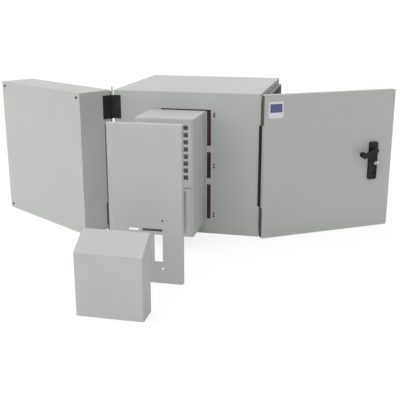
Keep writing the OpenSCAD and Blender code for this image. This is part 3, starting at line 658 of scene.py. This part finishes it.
def strips(name, runs, width, depth, body, slot, finish, place=AT_CABINET):
    """Straight strips, one for each (start, end), carried to their place. On an upright run the width lies
    along X and the depth along Y, on a run along X they lie along Y and Z."""
    lines = bpy.data.meshes.new(name)
    ends = [end for run in runs for end in run]
    lines.from_pydata(ends, [(2 * k, 2 * k + 1) for k in range(len(runs))], [])
    piece = grown(name, lines, opening_trim, body, slot, Strip_width=width, Strip_depth=depth,
                  Finish=finish)
    piece.data.transform(place)


unit_low, unit_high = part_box("unit_housing")
SEAM_Z, SEAM_IN, SEAM_H, SEAM_T = 0.259, 0.010, 0.0018, 0.0006
seam = [((unit_low.x + SEAM_IN, unit_low.y, SEAM_Z), (unit_high.x - SEAM_IN, unit_low.y, SEAM_Z))]
strips("unit_front_seam", seam, SEAM_T, SEAM_H, "main_section", "gasket_foam", finishes["gasket_foam"])

shroud_low, shroud_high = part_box("front_shroud")
# A dark grey strip behind the shroud's left edge: painted shade for the shadow line between the shroud and the
# wall section
SHADE_STRIP_W, SHADE_STRIP_D, SHADE_STRIP_BACK, SHADE_STRIP_UP, SHADE_STRIP_DOWN = 0.006, 0.005, 0.008, 0.002, 0.006
shade_strip_x, shade_strip_y = shroud_low.x - SHADE_STRIP_W / 2, shroud_low.y + SHADE_STRIP_BACK
shade_strip_run = [tuple((shade_strip_x, shade_strip_y, z) for z in (shroud_low.z + SHADE_STRIP_UP, shroud_high.z - SHADE_STRIP_DOWN))]
strips("shroud_edge_painted_shade", shade_strip_run, SHADE_STRIP_W, SHADE_STRIP_D, "shroud", "gasket_foam", painted_shade_grey)

FLANGE_W, FLANGE_T = 0.0065, 0.002
flanges = [
    tuple((x, SIDE_Y - FLANGE_T / 2, z) for z in (unit_low.z, unit_high.z))
    for x in (unit_low.x - FLANGE_W / 2, unit_high.x + FLANGE_W / 2)
]
strips("unit_mount_flanges", flanges, FLANGE_W, FLANGE_T, "main_section", "unit_paint",
       finishes["unit_paint"])

# A dark grey skin over the door's hinge-side edge, above and below the hinge: painted shade for the dark gap
# between cabinet and door
DOOR_RIM_X, DOOR_EDGE_IN, EDGE_SHADE_T, EDGE_BARE, HINGE_GAP = 0.317, 0.004, 0.0004, 0.003, 0.002
edge_x, edge_w = (DOOR_RIM_X + DOOR_FACE_X) / 2, DOOR_FACE_X - DOOR_RIM_X - EDGE_BARE
hinge_low, hinge_high = DOOR_HINGE_Z - HINGE_GAP, DOOR_HINGE_Z + DOOR_HINGE_H + HINGE_GAP
edge_runs = [
    tuple((edge_x, SIDE_Y - EDGE_SHADE_T / 2, z) for z in run)
    for run in ((DOOR_EDGE_IN, hinge_low), (hinge_high, CAB_H - DOOR_EDGE_IN))
]
strips("door_edge_painted_shade", edge_runs, edge_w, EDGE_SHADE_T, "door", "gasket_foam", painted_shade_grey, AT_DOOR)


# Floor, lights and camera

FLOOR_WHITE, FLOOR_GLOW = 0.72, 1.14
FLOOR_MATT = (0.84, 0.84, 0.84, 1.0)
FLOOR_HALF, FLOOR_Z = 14.0, -0.0006
SKY_MEAN, SKY_SLOPE, SKY_LEAST = 0.395, (-0.56, -0.11, 0.82), 0.04
WHITE = (1.0, 1.0, 1.0, 1.0)
LAMP_TINT = (1.0, 0.995, 0.98)


def floor_finish():
    """Matt and shaded for the light, mixed with plain white where the camera or a reflection sees it."""
    material = bpy.data.materials.new("studio_floor")
    material.use_nodes = True
    tree = material.node_tree
    tree.nodes.clear()
    add = tree_builder(tree)
    rays = add("ShaderNodeLightPath")
    seen = add("ShaderNodeMath", [(0, rays.outputs["Is Camera Ray"]), (1, rays.outputs["Is Glossy Ray"])],
               operation="MAXIMUM")
    share = add("ShaderNodeMath", [(0, seen.outputs[0]), (1, FLOOR_WHITE)], operation="MULTIPLY")
    matt = add("ShaderNodeBsdfDiffuse", [("Color", FLOOR_MATT)])
    white = add("ShaderNodeEmission", [("Color", WHITE), ("Strength", FLOOR_GLOW)])
    both = add("ShaderNodeMixShader", [
        (0, share.outputs[0]), (1, matt.outputs[0]), (2, white.outputs[0]),
    ])
    add("ShaderNodeOutputMaterial", [(0, both.outputs[0])])
    return material


floor_mesh = bpy.data.meshes.new("studio_floor")
floor_corners = [(x * FLOOR_HALF, y * FLOOR_HALF, FLOOR_Z) for x, y in ((-1, -1), (1, -1), (1, 1), (-1, 1))]
floor_mesh.from_pydata(floor_corners, [], [(0, 1, 2, 3)])
floor_mesh.materials.append(floor_finish())
floor = bpy.data.objects.new("studio_floor", floor_mesh)
scene.collection.objects.link(floor)

# The sky's light leans to one side and upward. Seen directly or in a reflection it is plain white
world = bpy.data.worlds.new("studio_sky")
scene.world = world
world.use_nodes = True
world.node_tree.nodes.clear()
add = tree_builder(world.node_tree)
rays = add("ShaderNodeLightPath")
mirrored = add("ShaderNodeMath", [
    (0, rays.outputs["Is Glossy Ray"]), (1, rays.outputs["Is Transmission Ray"]),
], operation="MAXIMUM")
seen = add("ShaderNodeMath", [(0, rays.outputs["Is Camera Ray"]), (1, mirrored.outputs[0])],
           operation="MAXIMUM")
toward = add("ShaderNodeTexCoord")
lean = add("ShaderNodeVectorMath", [(0, toward.outputs["Generated"]), (1, SKY_SLOPE)],
           operation="DOT_PRODUCT")
tilted = add("ShaderNodeMath", [(0, lean.outputs["Value"]), (1, SKY_MEAN)], operation="ADD")
level = add("ShaderNodeMath", [(0, tilted.outputs[0]), (1, SKY_LEAST)], operation="MAXIMUM")
ambient = add("ShaderNodeBackground", [("Color", WHITE), ("Strength", level.outputs[0])])
white = add("ShaderNodeBackground", [("Color", WHITE), ("Strength", 1.0)])
both = add("ShaderNodeMixShader", [
    (0, seen.outputs[0]), (1, ambient.outputs[0]), (2, white.outputs[0]),
])
add("ShaderNodeOutputWorld", [(0, both.outputs[0])])


def soft_lamp(name, place, aim, size, power):
    lamp = bpy.data.lights.new(name, "AREA")
    lamp.shape = "DISK"
    lamp.size = size
    lamp.energy = power
    lamp.color = LAMP_TINT
    holder = bpy.data.objects.new(name, lamp)
    holder.location = place
    holder.rotation_euler = (Vector(aim) - Vector(place)).to_track_quat("-Z", "Y").to_euler()
    scene.collection.objects.link(holder)


KEY_PLACE, KEY_AIM, KEY_SIZE, KEY_POWER = (-1.6, -3.6, 1.6), (-0.2, -0.6, 0.3), 2.2, 1.0
soft_lamp("key_lamp", KEY_PLACE, KEY_AIM, KEY_SIZE, KEY_POWER)

CAMERA_LENS, CAMERA_SENSOR = 63.0, 36.0
CAMERA_PLACE, CAMERA_TILT, CAMERA_TURN = (0.705, -3.129, 0.979), 73.98, 12.87
camera_data = bpy.data.cameras.new("photo_camera")
camera_data.sensor_width = CAMERA_SENSOR
camera_data.lens = CAMERA_LENS
camera = bpy.data.objects.new("photo_camera", camera_data)
camera.location = CAMERA_PLACE
camera.rotation_euler = (math.radians(CAMERA_TILT), 0.0, math.radians(CAMERA_TURN))
scene.collection.objects.link(camera)
scene.camera = camera
